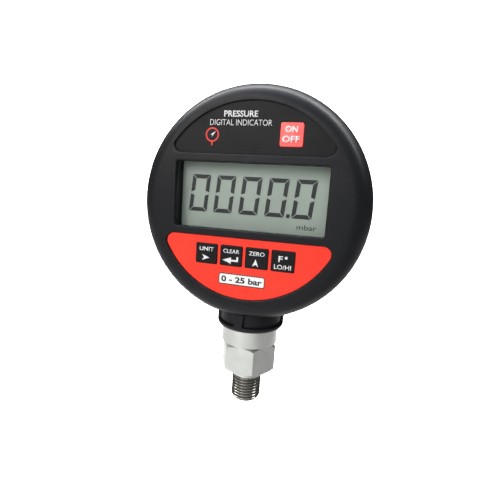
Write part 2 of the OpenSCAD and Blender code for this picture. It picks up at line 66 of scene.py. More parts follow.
FIT = 0.15  # gap round a label or a key
UPPER_LOW, UPPER_HIGH = box_mm("upper_label")
UPPER_R = UPPER_HIGH.z - DIAL_Z + FIT
UPPER_CHORD = UPPER_LOW.z - DIAL_Z - FIT
LOWER_LOW, LOWER_HIGH = box_mm("lower_label")
LOWER_R = DIAL_Z - LOWER_LOW.z + FIT
LOWER_CHORD = DIAL_Z - LOWER_HIGH.z - FIT
LABEL_FRONT = UPPER_LOW.y
LENS_LOW, LENS_HIGH = box_mm("window_lens")
LENS_LIP = 1.0  # the window lens reaches this far past the display opening
LCD_W = LENS_HIGH.x - LENS_LOW.x - 2 * LENS_LIP
LCD_H = LENS_HIGH.z - LENS_LOW.z - 2 * LENS_LIP
LCD_Z = (LENS_HIGH.z + LENS_LOW.z) / 2 - DIAL_Z
CASE_LOW, CASE_HIGH = box_mm("rear_housing")
CASE_R = (CASE_HIGH.x - CASE_LOW.x) / 2
CASE_BACK = CASE_HIGH.y


# ---------------------------------------------------------------- mesh building


class Shell:
    """The points and faces of one piece, in millimetres."""

    def __init__(self):
        self.points = []
        self.faces = []

    def loop(self, points):
        start = len(self.points)
        self.points += [tuple(p) for p in points]
        return list(range(start, len(self.points)))

    def skin(self, loops):
        """Joins each closed loop to the next one with four-sided faces."""
        for a, b in zip(loops, loops[1:]):
            for i in range(len(a)):
                j = (i + 1) % len(a)
                self.faces.append((a[i], a[j], b[j], b[i]))

    def fill(self, *loops):
        """Closes a flat outline, with the later loops as its holes."""
        index = [i for loop in loops for i in loop]
        outlines = [[Vector(self.points[i]) for i in loop] for loop in loops]
        for corners in tessellate_polygon(outlines):
            self.faces.append(tuple(index[i] for i in corners))

    def piece(self, name, material, body="gauge", sharp=32):
        """Makes the Blender object, smooth in its shading except at edges sharper than sharp degrees."""
        mesh = bpy.data.meshes.new(name)
        mesh.from_pydata([Vector(p) * MM for p in self.points], [], self.faces)
        clean = bmesh.new()
        clean.from_mesh(mesh)
        bmesh.ops.remove_doubles(clean, verts=clean.verts, dist=1e-7)
        bmesh.ops.recalc_face_normals(clean, faces=clean.faces)
        clean.to_mesh(mesh)
        clean.free()
        mesh.shade_smooth()
        mesh.set_sharp_from_angle(angle=math.radians(sharp))
        mesh.materials.append(material)
        made = bpy.data.objects.new(name, mesh)
        bpy.context.scene.collection.objects.link(made)
        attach(made, body)
        return made


def arc(x, y, r, a0, a1, steps):
    """Points along an arc from angle a0 to a1 in degrees, both ends included."""
    angles = [math.radians(a0 + (a1 - a0) * i / steps) for i in range(steps + 1)]
    return [(x + r * math.cos(a), y + r * math.sin(a)) for a in angles]


def half_moon(r, chord, corner, flipped=False):
    """Outline of the part of a disc above a chord, or its mirror image below, with two round corners."""
    cy = chord + corner
    cx = math.sqrt((r - corner) ** 2 - cy**2)
    touch = math.degrees(math.atan2(cy, cx))
    step = (180 - 2 * touch) / 72
    points = arc(cx, cy, corner, -90, touch, 10)
    points += arc(0, 0, r, touch + step, 180 - touch - step, 70)
    points += arc(-cx, cy, corner, 180 - touch, 270, 10)
    return [(-x, -y) for x, y in points] if flipped else points


def rounded_rect(x, y, w, h, r, steps=6):
    """Outline of a rectangle centred at x, y with corners of radius r."""
    points = []
    for a, sx, sy in ((0, 1, 1), (90, -1, 1), (180, -1, -1), (270, 1, -1)):
        points += arc(x + sx * (w / 2 - r), y + sy * (h / 2 - r), r, a, a + 90, steps)
    return points


def on_dial(outline, depth):
    """Places an outline seen from the front at a depth behind the boot's front."""
    return [(u, FRONT + depth, DIAL_Z + v) for u, v in outline]


def disc(x, z, r, count):
    """Outline of a disc centred at x, z."""
    angles = [2 * math.pi * i / count for i in range(count)]
    return [(x + r * math.cos(a), z + r * math.sin(a)) for a in angles]


def dial_ring(r, depth, count):
    """A loop round the dial's axis at a depth behind the boot's front."""
    angles = [2 * math.pi * i / count for i in range(count)]
    return [(r * math.cos(a), FRONT + depth, DIAL_Z + r * math.sin(a)) for a in angles]


def stem_ring(r, z, count=128):
    """A loop round the stem; r is a number or a function of the angle in degrees."""
    radius = r if callable(r) else lambda a: r
    points = []
    for i in range(count):
        a = 360 * i / count
        turn = math.radians(a)
        points.append((radius(a) * math.cos(turn), radius(a) * math.sin(turn), z))
    return points


def turned(name, profile, material, sharp):
    """A closed solid of revolution round the stem, from a closed profile of (radius, height)."""
    shell = Shell()
    loops = [shell.loop(stem_ring(r, z)) for r, z in profile]
    shell.skin(loops + [loops[0]])
    return shell.piece(name, material, sharp=sharp)


def flat_piece(name, outlines, depth, thick, material):
    """A thin flat piece on the dial. Each outline is a list of loops: the outer edge, then its holes."""
    shell = Shell()
    for loops in outlines:
        fronts = [shell.loop(on_dial(loop, depth)) for loop in loops]
        backs = [shell.loop(on_dial(loop, depth + thick)) for loop in loops]
        shell.fill(*fronts)
        shell.fill(*backs)
        for a, b in zip(fronts, backs):
            shell.skin([a, b])
    shell.piece(name, material)


def smoothstep(x, low, high):
    """0 below low, 1 above high, and a smooth rise between them."""
    t = min(1.0, max(0.0, (x - low) / (high - low)))
    return t * t * (3 - 2 * t)


# ---------------------------------------------------------------- materials


def hex_colour(code):
    """An sRGB hex colour as linear red, green, blue and alpha."""
    values = [int(code[i : i + 2], 16) / 255 for i in (1, 3, 5)]
    return [c / 12.92 if c <= 0.04045 else ((c + 0.055) / 1.055) ** 2.4 for c in values] + [1.0]


def add(tree, kind, inputs=None, **settings):
    """Adds a node, sets it up, and links or fills its inputs."""
    made = tree.nodes.new(kind)
    for name, value in settings.items():
        setattr(made, name, value)
    for name, value in (inputs or {}).items():
        socket = made.inputs[name]
        if isinstance(value, bpy.types.NodeSocket):
            tree.links.new(value, socket)
        else:
            socket.default_value = value
    return made


def ramp(tree, factor, stops):
    """A colour ramp with (position, colour) stops."""
    made = add(tree, "ShaderNodeValToRGB", {"Fac": factor})
    elements = made.color_ramp.elements
    while len(elements) < len(stops):
        elements.new(0.5)
    for element, (position, colour) in zip(elements, stops):
        element.position = position
        element.color = colour
    return made.outputs["Color"]


def grey(value):
    """A linear grey as red, green, blue and alpha."""
    return (value, value, value, 1.0)


def surface(name, colours, patch_mm, roughness, bump=None, **sockets):
    """A shader whose colour drifts between two hex values over patches, and whose roughness drifts with it.

    roughness is its lowest and highest value, and the lighter patches are the smoother ones.
    bump is (grain in mm, height in mm, strength), and sockets are further inputs of the shader.
    """
    material = bpy.data.materials.new(name)
    material.use_nodes = True
    tree = material.node_tree
    tree.nodes.clear()
    place = add(tree, "ShaderNodeTexCoord").outputs["Object"]
    patches = add(
        tree,
        "ShaderNodeTexNoise",
        {"Vector": place, "Scale": 1 / (patch_mm * MM), "Detail": 4.0, "Roughness": 0.6},
    )
    drift = patches.outputs["Fac"]
    inputs = {
        "Base Color": ramp(tree, drift, [(0.3, hex_colour(colours[0])), (0.7, hex_colour(colours[1]))]),
        "Roughness": ramp(tree, drift, [(0.3, grey(roughness[1])), (0.7, grey(roughness[0]))]),
    }
    if bump:
        grain_mm, height_mm, strength = bump
        fine = 1 / (grain_mm * MM)
        grain = add(tree, "ShaderNodeTexNoise", {"Vector": place, "Scale": fine, "Detail": 3.0})
        inputs["Normal"] = add(
            tree,
            "ShaderNodeBump",
            {"Height": grain.outputs["Fac"], "Distance": height_mm * MM, "Strength": strength},
        ).outputs["Normal"]
    inputs.update(sockets)
    shader = add(tree, "ShaderNodeBsdfPrincipled", inputs)
    add(tree, "ShaderNodeOutputMaterial", {"Surface": shader.outputs["BSDF"]})
    return material


METAL_PATCH = 6  # size of the dull patches in a metal


def turned_metal(name, colours, roughness, line_mm, height_mm):
    """Metal off the lathe: fine tool lines round the stem, and faint dull patches."""
    material = bpy.data.materials.new(name)
    material.use_nodes = True
    tree = material.node_tree
    tree.nodes.clear()
    place = add(tree, "ShaderNodeTexCoord").outputs["Object"]
    stretch = add(tree, "ShaderNodeMapping", {"Vector": place, "Scale": (0.02, 0.02, 1.0)})
    along = stretch.outputs["Vector"]
    fine, coarse = 1 / (line_mm * MM), 1 / (METAL_PATCH * MM)
    lines = add(tree, "ShaderNodeTexNoise", {"Vector": along, "Scale": fine, "Detail": 2.0})
    patches = add(tree, "ShaderNodeTexNoise", {"Vector": place, "Scale": coarse, "Detail": 5.0})
    tone = ramp(tree, patches.outputs["Fac"], [(0.3, hex_colour(colours[0])), (0.7, hex_colour(colours[1]))])
    dull = ramp(tree, patches.outputs["Fac"], [(0.35, grey(roughness[1])), (0.65, grey(roughness[0]))])
    bump = add(
        tree,
        "ShaderNodeBump",
        {"Height": lines.outputs["Fac"], "Distance": height_mm * MM, "Strength": 0.6},
    )
    shader = add(
        tree,
        "ShaderNodeBsdfPrincipled",
        {"Base Color": tone, "Roughness": dull, "Metallic": 1.0, "Normal": bump.outputs["Normal"]},
    )
    add(tree, "ShaderNodeOutputMaterial", {"Surface": shader.outputs["BSDF"]})
    return material


def boot_rubber():
    # Black nitrile rubber, compression moulded against a fine-blasted tool: grained and satin, with a
    # dim reflection and slightly smoother patches.
    return surface(
        "black_nitrile_rubber",
        ("#131417", "#1a1b1e"),
        9,
        (0.34, 0.46),
        bump=(0.5, 0.06, 0.45),
        IOR=1.52,
        **{"Specular IOR Level": 0.18},
    )


def case_plastic():
    # Black ABS, injection moulded in a spark-eroded tool: an even grain of about a third of a millimetre.
    return surface("black_abs", ("#1b1c1e", "#232427"), 12, (0.5, 0.6), bump=(0.3, 0.05, 0.5), IOR=1.53)


def seal_rubber():
    # Black silicone rubber, moulded: duller and softer than the boot.
    return surface("seal_rubber", ("#17181a", "#202124"), 3, (0.6, 0.75), IOR=1.45)


def charcoal_film():
    # Polyester film with a charcoal print behind it: velvet finish, an almost even tone.
    return surface(
        "charcoal_polyester",
        ("#19191a", "#1f1f20"),
        15,
        (0.4, 0.48),
        bump=(0.25, 0.01, 0.3),
        **{"Specular IOR Level": 0.12},
    )


def red_film():
    # Polyester film with a red print behind it: velvet finish, strong even colour.
    return surface(
        "red_polyester",
        ("#fa3a2a", "#ff412f"),
        18,
        (0.4, 0.48),
        bump=(0.25, 0.01, 0.25),
        **{"Specular IOR Level": 0.2},
    )


def white_film():
    # White self-adhesive polyester: smooth, slightly glossy.
    return surface("white_polyester", ("#eeeeec", "#f6f6f4"), 6, (0.3, 0.4), IOR=1.57)


def white_ink():
    # White screen-printing ink: opaque, slightly rough at its edges.
    return surface("white_ink", ("#dcdcdc", "#f0f0f0"), 1.2, (0.5, 0.6), IOR=1.5)


def black_ink():
    # Black screen-printing ink on white film.
    return surface("black_ink", ("#1a1a1c", "#262628"), 1.5, (0.45, 0.55), IOR=1.5)


def red_ink():
    # Red screen-printing ink on the charcoal film.
    return surface("red_ink", ("#d8231d", "#e42c24"), 1.5, (0.45, 0.55), IOR=1.5)


def black_key():
    # Embossed polyester with a black print: smooth, with a satin gloss on the dome.
    return surface("black_key_film", ("#0e0e10", "#161618"), 5, (0.3, 0.4), **{"Specular IOR Level": 0.2})


def red_key():
    # Embossed polyester with a red print: smooth, with a satin gloss on the dome.
    return surface("red_key_film", ("#ee4741", "#f6544d"), 6, (0.3, 0.38), IOR=1.57)


def lens_acrylic():
    # Cast acrylic window, polished: nearly clear with a grey-green tint, and a faint reflection.
    return surface("clear_acrylic", ("#505854", "#5a625e"), 20, (0.05, 0.09), IOR=1.49, Alpha=0.1)


def lcd_reflector():
    # Reflective liquid crystal glass: grey-green, fine-grained foil seen through its polariser.
    return surface("lcd_reflector", ("#acbaaf", "#b7c5ba"), 14, (0.42, 0.5), bump=(0.2, 0.004, 0.3), IOR=1.5)


def lcd_dark():
    # Liquid crystal switched on: a dark grey with a little green, flat and even.
    return surface("lcd_segment", ("#1a1f22", "#222729"), 4, (0.4, 0.5), IOR=1.5)


def plated_steel():
    # Zinc-plated free-cutting steel off the lathe: bright, satin, nearly neutral.
    return turned_metal("zinc_plated_steel", ("#c6c8c4", "#d2d3cf"), (0.26, 0.34), 0.14, 0.0015)


def thread_metal_with_painted_shade():
    # The same steel on the thread, with painted shade: its colour is darker than the plated steel to stand in
    # for the shade in the thread's grooves, and it is smoother on the cut flanks.
    return turned_metal("thread_metal_painted_shade", ("#84827d", "#9b9993"), (0.16, 0.24), 0.1, 0.002)


def capsule_steel():
    # Stainless steel of the pressure capsule, turned and cleaned.
    return turned_metal("stainless_capsule", ("#a9aaa9", "#b8b9b7"), (0.25, 0.35), 0.15, 0.003)


def screw_steel():
    # Zinc-plated steel fasteners, tumbled.
    return turned_metal("zinc_screws", ("#b4b6b2", "#c8cac6"), (0.3, 0.42), 0.3, 0.002)


def spring_steel():
    # Nickel-plated spring wire and contact strip.
    return turned_metal("nickel_spring", ("#bdbab2", "#cfccc4"), (0.2, 0.3), 0.3, 0.001)


def solder_mask():
    # Glass-fibre board under a green solder mask.
    return surface("green_solder_mask", ("#1d5a38", "#256a43"), 4, (0.3, 0.4), IOR=1.5)


def chip_epoxy():
    # Moulded epoxy of the chips.
    return surface("chip_epoxy", ("#1d1d1f", "#262628"), 2, (0.45, 0.6), bump=(0.12, 0.01, 0.4), IOR=1.55)


def switch_nylon():
    # Dark nylon of the switches and their plungers.
    return surface("switch_nylon", ("#3d3f43", "#4a4c50"), 3, (0.4, 0.5), IOR=1.53)


def diffuser_acrylic():
    # Milky acrylic that spreads the backlight.
    return surface("milky_acrylic", ("#dfe3dc", "#eaede7"), 8, (0.35, 0.45), IOR=1.49)


def contact_rubber():
    # Layered silicone that joins the glass to the board.
    return surface("contact_silicone", ("#5f646b", "#7a7e85"), 0.8, (0.55, 0.65), IOR=1.43)


def lead_pvc():
    # PVC sheath of the sensor lead.
    return surface("pvc_sheath", ("#a8a394", "#b9b4a5"), 3, (0.45, 0.55), IOR=1.53)


def connector_nylon():
    # Natural nylon of the connector.
    return surface("natural_nylon", ("#ddd8c8", "#e8e3d4"), 3, (0.4, 0.5), IOR=1.53)


def cell_jacket():
    # Plain shrink film on the cells, no print.
    return surface("cell_jacket", ("#36424a", "#46525a"), 6, (0.25, 0.35), IOR=1.55)


RUBBER = boot_rubber()
ABS = case_plastic()
SEAL = seal_rubber()
CHARCOAL = charcoal_film()
RED = red_film()
WHITE_FILM = white_film()
WHITE_INK = white_ink()
BLACK_INK = black_ink()
RED_INK = red_ink()
BLACK_KEY = black_key()
RED_KEY = red_key()
LENS = lens_acrylic()
REFLECTOR = lcd_reflector()
SEGMENT = lcd_dark()
STEEL = plated_steel()
THREAD_METAL_PAINTED_SHADE = thread_metal_with_painted_shade()
CAPSULE = capsule_steel()
SCREW = screw_steel()
SPRING = spring_steel()
BOARD = solder_mask()
CHIP = chip_epoxy()
SWITCH = switch_nylon()
DIFFUSER = diffuser_acrylic()
CONTACT = contact_rubber()
LEAD = lead_pvc()
CONNECTOR = connector_nylon()
CELL = cell_jacket()

CAD_FINISHES = {
    "front_cover": ABS,
    "rear_housing": ABS,
    "battery_door": ABS,
    "lcd_frame": ABS,
    "housing_gasket": SEAL,
    "window_gasket": SEAL,
    "sensor_seal": SEAL,
    "adapter_seal": SEAL,
    "stem_seal": SEAL,
    "door_gasket": SEAL,
    "housing_screws": SCREW,
    "board_screws": SCREW,
    "door_screws": SCREW,
    "clamp_nut": SCREW,
    "upper_label": CHARCOAL,
    "lower_label": RED,
    "window_lens": LENS,
    "backlight": DIFFUSER,
    "contact_strips": CONTACT,
    "main_board": BOARD,
    "board_chips": CHIP,
    "key_switches": SWITCH,
    "power_plunger": SWITCH,
    "units_plunger": SWITCH,
    "clear_plunger": SWITCH,
    "zero_plunger": SWITCH,
    "function_plunger": SWITCH,
    "sensor_capsule": CAPSULE,
    "sensor_lead": LEAD,
    "lead_connector": CONNECTOR,
    "battery_upper": CELL,
    "battery_lower": CELL,
    "battery_springs": SPRING,
    "battery_contacts": SPRING,
}


def finish_cad_nodes():
    """Gives every CAD node that is shown as it is its material."""
    for node, material in CAD_FINISHES.items():
        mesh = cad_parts[node].data
        mesh.materials.clear()
        mesh.materials.append(material)


# ---------------------------------------------------------------- camera, light and floor

VIEW_AZIMUTH, VIEW_ELEVATION, VIEW_ROLL = 14.5, 8.2, 3.9  # degrees
VIEW_DISTANCE = 136.6
VIEW_BELOW_CENTRE = 16.95
VIEW_RIGHT_OF_CENTRE = 2.48
LENS_MM, SENSOR_MM = 25.5, 36.0
CLIP_START = 0.01  # metres

AIM_BELOW_CENTRE = 20  # the softboxes point this far below the dial's centre
SOFTBOXES = (
    # name, azimuth and elevation in degrees, distance, width and height in metres, watts, colour
    ("top_box", -60, 74, 0.5, 0.35, 0.2, 0.6, "#cdd8ff"),
    ("front_box", -28, 30, 0.6, 0.36, 0.4, 2.3, "#fffdf9"),
    ("fill_box", 2, 22, 1.0, 0.7, 0.5, 2.8, "#fafbff"),
)
CEILING_W, CEILING_H = 3.0, 1.0  # the wide light overhead, in metres
CEILING_WATTS = 120.0
CEILING_PLACE = (0.0, 0.25, 1.3)
CEILING_BACK = (0, -0.9, 0.9)  # the way its back faces

# Brightness of the surroundings from straight down to straight up, and a factor from left to right
SURROUND_RISE = ((0.0, 1.3), (0.3, 1.3), (0.44, 0.09), (1.0, 0.07))
SURROUND_SIDE = ((0.0, 0.75), (0.3, 1.0), (0.6, 0.8), (0.85, 0.4))

# The backdrop, in metres: a flat floor that bends up into a round wall
FLOOR_Z = -0.16
FLOOR_R = 0.2
WALL_R = 1.6
WALL_BEND = 0.8
WALL_TOP = 4.0
WALL_COUNT = 96
BEND_STEPS = 12
BACKDROP_GLOW = 1.05


def direction(azimuth, elevation):
    """Unit vector from the object towards a place at that azimuth and elevation, in degrees."""
    a, e = math.radians(azimuth), math.radians(elevation)
    return Vector((math.sin(a) * math.cos(e), -math.cos(a) * math.cos(e), math.sin(e)))


def make_camera():
    """A camera in front of the gauge, a little to its right and above, and slightly rolled."""
    target = Vector((VIEW_RIGHT_OF_CENTRE, FRONT, DIAL_Z - VIEW_BELOW_CENTRE))
    back = direction(VIEW_AZIMUTH, VIEW_ELEVATION)
    level = Vector((0, 0, 1)).cross(back).normalized()
    upright = back.cross(level)
    roll = math.radians(VIEW_ROLL)
    right = level * math.cos(roll) + upright * math.sin(roll)
    up = back.cross(right)
    data = bpy.data.cameras.new("camera")
    data.lens = LENS_MM
    data.sensor_width = SENSOR_MM
    data.clip_start = CLIP_START
    camera = bpy.data.objects.new("camera", data)
    turn = Matrix((right, up, back)).transposed().to_4x4()
    camera.matrix_world = Matrix.Translation((target + back * VIEW_DISTANCE) * MM) @ turn
    bpy.context.scene.collection.objects.link(camera)
    bpy.context.scene.camera = camera


def area_light(name, place, back, width, height, watts, colour="#ffffff"):
    """A rectangular light at a place, whose back faces the given way. Sizes in metres."""
    data = bpy.data.lights.new(name, "AREA")
    data.shape = "RECTANGLE"
    data.size, data.size_y = width, height
    data.energy = watts
    data.color = hex_colour(colour)[:3]
    lamp = bpy.data.objects.new(name, data)
    turn = back.to_track_quat("Z", "Y").to_matrix().to_4x4()
    lamp.matrix_world = Matrix.Translation(place) @ turn
    bpy.context.scene.collection.objects.link(lamp)


def softbox(name, azimuth, elevation, distance, width, height, watts, colour):
    """An area light in front of the gauge, aimed at its middle."""
    aim = Vector((0, 0, (DIAL_Z - AIM_BELOW_CENTRE) * MM))
    towards = direction(azimuth, elevation)
    area_light(name, aim + towards * distance, towards, width, height, watts, colour)


def make_studio():
    """The lights, and the dim surroundings that the metal mirrors."""
    for settings in SOFTBOXES:
        softbox(*settings)
    # A wide light above and a little behind the gauge, turned to the far wall: it whitens the
    # backdrop and lights the top of the gauge
    area_light(
        "backdrop_light", Vector(CEILING_PLACE), Vector(CEILING_BACK), CEILING_W, CEILING_H, CEILING_WATTS
    )
    world = bpy.data.worlds.new("studio")
    bpy.context.scene.world = world
    world.use_nodes = True
    tree = world.node_tree
    tree.nodes.clear()
    # Dim above, and below it a table that the stem mirrors, brightest left of the middle
    place = add(tree, "ShaderNodeTexCoord").outputs["Generated"]
    parts = add(tree, "ShaderNodeSeparateXYZ", {"Vector": place}).outputs
    rise = add(tree, "ShaderNodeMath", {0: parts["Z"], 1: 0.5}, operation="ADD").outputs[0]
    table = ramp(tree, rise, [(at, grey(bright)) for at, bright in SURROUND_RISE])
    across = add(tree, "ShaderNodeMath", {0: parts["X"], 1: 0.5, 2: 0.5}, operation="MULTIPLY_ADD").outputs[0]
    side = ramp(tree, across, [(at, grey(share)) for at, share in SURROUND_SIDE])
    sky = add(tree, "ShaderNodeMix", {0: 1.0, 6: table, 7: side}, data_type="RGBA", blend_type="MULTIPLY")
    background = add(tree, "ShaderNodeBackground", {"Color": sky.outputs[2], "Strength": 1.0})
    add(tree, "ShaderNodeOutputWorld", {"Surface": background.outputs["Background"]})
    bpy.context.scene.view_settings.view_transform = "Standard"


def make_floor():
    """A plain pale floor that curves up all round into a backdrop well away from the gauge."""
    rows = [(FLOOR_R, FLOOR_Z)]
    rows += arc(WALL_R - WALL_BEND, FLOOR_Z + WALL_BEND, WALL_BEND, -90, 0, BEND_STEPS)
    rows.append((WALL_R, WALL_TOP))
    turns = [2 * math.pi * k / WALL_COUNT for k in range(WALL_COUNT)]
    points = [(r * math.cos(t), r * math.sin(t), z) for r, z in rows for t in turns]
    faces = [tuple(range(WALL_COUNT))]
    for i in range(len(rows) - 1):
        low, high = i * WALL_COUNT, (i + 1) * WALL_COUNT
        for k in range(WALL_COUNT):
            n = (k + 1) % WALL_COUNT
            faces.append((low + k, low + n, high + n, high + k))
    mesh = bpy.data.meshes.new("floor")
    mesh.from_pydata(points, [], faces)
    mesh.shade_smooth()
    # Matt white paper, lit evenly from behind like a light tent
    paper = surface(
        "white_paper",
        ("#f7f7f7", "#fbfbfb"),
        400,
        (0.85, 0.95),
        **{"Emission Color": grey(1.0), "Emission Strength": BACKDROP_GLOW},
    )
    mesh.materials.append(paper)
    floor = bpy.data.objects.new("floor", mesh)
    floor.visible_glossy = False
    floor.visible_diffuse = False
    bpy.context.scene.collection.objects.link(floor)


# ---------------------------------------------------------------- boot

SKIN = 1.6  # rubber over the front of the case
EDGE = 0.5  # radius moulded on the edges of the windows
FLAT_R = 41.0  # where the flat face of the ring ends
SHOULDER_DEPTH = 8.6
BLEND = 2.4  # length over which the face runs into the shoulder
HEEL_R = 4.0
CAVITY_R = CASE_R + 0.2
MOUTH_R = 38.5
MOUTH_LIP = 0.8  # radius round the rim of the opening at the back
LABEL_CORNER = 3.2  # corners of the windows for the two labels
LCD_CORNER = 1.0  # corners of the window for the display
SHOULDER_STEPS = 28
BLEND_END = 7  # the step of the shoulder's arc at which the blend ends
BLEND_STEPS = 8
RING_COUNT = 360


def windows(grow):
    """The three openings in the boot's face, widened all round by grow."""
    return [
        half_moon(UPPER_R + grow, UPPER_CHORD - grow, LABEL_CORNER + grow),
        rounded_rect(0, LCD_Z, LCD_W + 2 * grow, LCD_H + 2 * grow, LCD_CORNER + grow, steps=8),
        half_moon(LOWER_R + grow, LOWER_CHORD - grow, LABEL_CORNER + grow, flipped=True),
    ]


def boot_shell():
    """The ring, the face with its windows, and the lip round the back, as one closed skin."""
    shell = Shell()
    rounds = [math.radians(90 * i / 6) for i in range(7)]
    stacks = [[], [], []]
    for a in rounds:
        for stack, outline in zip(stacks, windows(EDGE * (1 - math.sin(a)))):
            stack.append(shell.loop(on_dial(outline, EDGE * (1 - math.cos(a)))))
    for stack, outline in zip(stacks, windows(0)):
        stack.append(shell.loop(on_dial(outline, SKIN)))
        shell.skin(stack)
    depth = BACK - FRONT
    width = BOOT_R - FLAT_R
    shoulder_r = (width**2 + SHOULDER_DEPTH**2) / (2 * width)
    start = math.degrees(math.asin(SHOULDER_DEPTH / shoulder_r))
    shoulder = arc(BOOT_R - shoulder_r, SHOULDER_DEPTH, shoulder_r, -start, 0, SHOULDER_STEPS)
    near, bend, far = (FLAT_R - BLEND, 0.0), (FLAT_R, 0.0), shoulder[BLEND_END]
    profile = []
    for i in range(BLEND_STEPS):
        t = i / BLEND_STEPS
        p, q, s = (1 - t) ** 2, 2 * t * (1 - t), t * t
        profile.append(tuple(p * a + q * b + s * c for a, b, c in zip(near, bend, far)))
    profile += shoulder[BLEND_END:]
    profile += [(BOOT_R, d) for d in (14, 22, 30)]
    profile += arc(BOOT_R - HEEL_R, depth - HEEL_R, HEEL_R, 0, 90, 10)
    profile += arc(MOUTH_R + MOUTH_LIP, depth - MOUTH_LIP, MOUTH_LIP, 90, 180, 5)
    profile += [(MOUTH_R, CASE_BACK - FRONT), (CAVITY_R, CASE_BACK - FRONT), (CAVITY_R, SKIN)]
    rings = [shell.loop([lifted_clear(*p) for p in dial_ring(r, d, RING_COUNT)]) for r, d in profile]
    shell.skin(rings)
    shell.fill(rings[0], *[stack[0] for stack in stacks])
    shell.fill(rings[-1], *[stack[-1] for stack in stacks])
    return shell


COLLAR_LOW, COLLAR_HIGH = box_mm("sensor_body")
COLLAR_R = (COLLAR_HIGH.x - COLLAR_LOW.x) / 2
NECK_R = 14.7
NECK_BORE_R = COLLAR_R + 0.25
NECK_TOP = 45.5
NECK_COUNT = 288
BORE_CHAMFER = 0.4
LIP_ROUND = 2.0
LIP_TOP = NECK_Z + 2.6
STEP_FOOT, STEP_HEAD = LIP_TOP - 0.45, LIP_TOP + 0.25  # the lip runs into the pockets between these
POCKET = 1.3  # depth of the pockets between the ribs
POCKET_TOP = 44.2
POCKET_REACH = 4.2  # how far the pockets bite forward into the ring
POCKET_LEVEL = 2.2  # how far out the roof of a pocket stays level
FRONT_RIB, LEFT_RIB, RIGHT_RIB = -97.0, 193.0, 15.0  # degrees round the stem
RIB_HALF = 8.0  # half a rib's width, in degrees round the stem
RIB_WIDER = 2.5  # the front rib is this much wider at its top, on either side
RIB_EDGE_IN, RIB_EDGE_OUT = 1.2, 1.6  # degrees over which a rib runs into a pocket
SIDE_RIB_W = 4.0
FLARE_R = 5.0
FLARE_Z = 38.0
FLARE_ANGLE = 70.0
FIN_R, FIN_Z, FIN_TOP = 19.1, 43.2, 46.9
FIN_SINK = 0.2  # the fin starts this far inside the neck
FIN_FOOT = LIP_TOP - 0.8
# Slices across the fin: the place as a share of half its width, and how far its edge is drawn in
FIN_SLICES = ((-1.0, 0.5), (-0.85, 0.15), (-0.6, 0.0), (0.6, 0.0), (0.85, 0.15), (1.0, 0.5))


def away_from(angle, centre):
    """Degrees between two directions round the stem."""
    return abs((angle - centre + 180) % 360 - 180)


def pocket_share(angle, z):
    """1 in the middle of a pocket, 0 on a rib; the front rib widens towards its top."""
    widen = RIB_WIDER * smoothstep(z, LIP_TOP, POCKET_TOP)
    shares = []
    for rib, half in ((FRONT_RIB, RIB_HALF + widen), (LEFT_RIB, RIB_HALF), (RIGHT_RIB, RIB_HALF)):
        shares.append(smoothstep(away_from(angle, rib), half - RIB_EDGE_IN, half + RIB_EDGE_OUT))
    return min(shares)


def neck_radius(angle, z):
    """Outer radius of the boot's neck: a rounded lip, pockets above it, and ribs between the pockets."""
    above = z - NECK_Z
    if above < LIP_ROUND:
        return NECK_R - LIP_ROUND + math.sqrt(max(0.0, LIP_ROUND**2 - (LIP_ROUND - above) ** 2))
    return NECK_R - POCKET * smoothstep(z, STEP_FOOT, STEP_HEAD) * pocket_share(angle, z)


def lifted_clear(x, y, z):
    """Lifts a point of the ring's underside, in front of the stem, where a pocket runs up into it."""
    reach = math.hypot(x, y)
    if z > POCKET_TOP or reach > NECK_R + POCKET_REACH or y >= 0:
        return x, y, z
    angle = math.degrees(math.atan2(y, x))
    near = 1 - smoothstep(reach, NECK_R + POCKET_LEVEL, NECK_R + POCKET_REACH)
    return x, y, z + (POCKET_TOP - z) * (pocket_share(angle, POCKET_TOP) * near)


def add_neck(shell):
    """The neck round the collar, with rows close together on the lip and on the step above it."""
    heights = [0.0, 0.12, 0.3, 0.55, 0.85, 1.2, 1.7, 2.0] + [2.15 + 0.08 * i for i in range(10)]
    heights += [3.2, 3.8, 4.6, 5.4, 6.2, 7.0, 7.8, 8.6, 9.4, NECK_TOP - NECK_Z]
    loops = []
    for z in [NECK_Z + h for h in heights]:
        loops.append(shell.loop(stem_ring(lambda a, z=z: neck_radius(a, z), z, NECK_COUNT)))
    loops += [shell.loop(stem_ring(NECK_BORE_R, z, NECK_COUNT)) for z in (NECK_TOP, NECK_Z + BORE_CHAMFER)]
    loops.append(shell.loop(stem_ring(NECK_BORE_R + BORE_CHAMFER, NECK_Z, NECK_COUNT)))
    shell.skin(loops + [loops[0]])
    add_fin(shell, RIGHT_RIB)


def add_fin(shell, angle):
    """The rib that flares out from the neck into a fin under the ring, with softened edges."""
    turn = Matrix.Rotation(math.radians(angle), 3, "Z")
    start = NECK_R - FIN_SINK
    root = NECK_BORE_R + 0.3
    outline = [(root, FIN_FOOT), (start, FIN_FOOT)]
    outline += arc(start + FLARE_R, FLARE_Z, FLARE_R, 180, 180 - FLARE_ANGLE, 10)
    outline += [(FIN_R, FIN_Z), (FIN_R, FIN_TOP), (root, FIN_TOP)]
    loops = []
    for half, pull in FIN_SLICES:
        points = []
        for r, z in outline:
            slide = pull if r > root else 0.0
            points.append(turn @ Vector((r - slide, half * SIDE_RIB_W / 2, z)))
        loops.append(shell.loop(points))
    shell.skin(loops)
    shell.fill(loops[0])
    shell.fill(loops[-1])


def make_boot():
    shell = boot_shell()
    add_neck(shell)
    boot = shell.piece("rubber_boot", RUBBER, sharp=40)
    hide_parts("boot")


# ---------------------------------------------------------------- lettering and marks

INK = 0.03  # a print stands this far out of its film, and goes as far into it


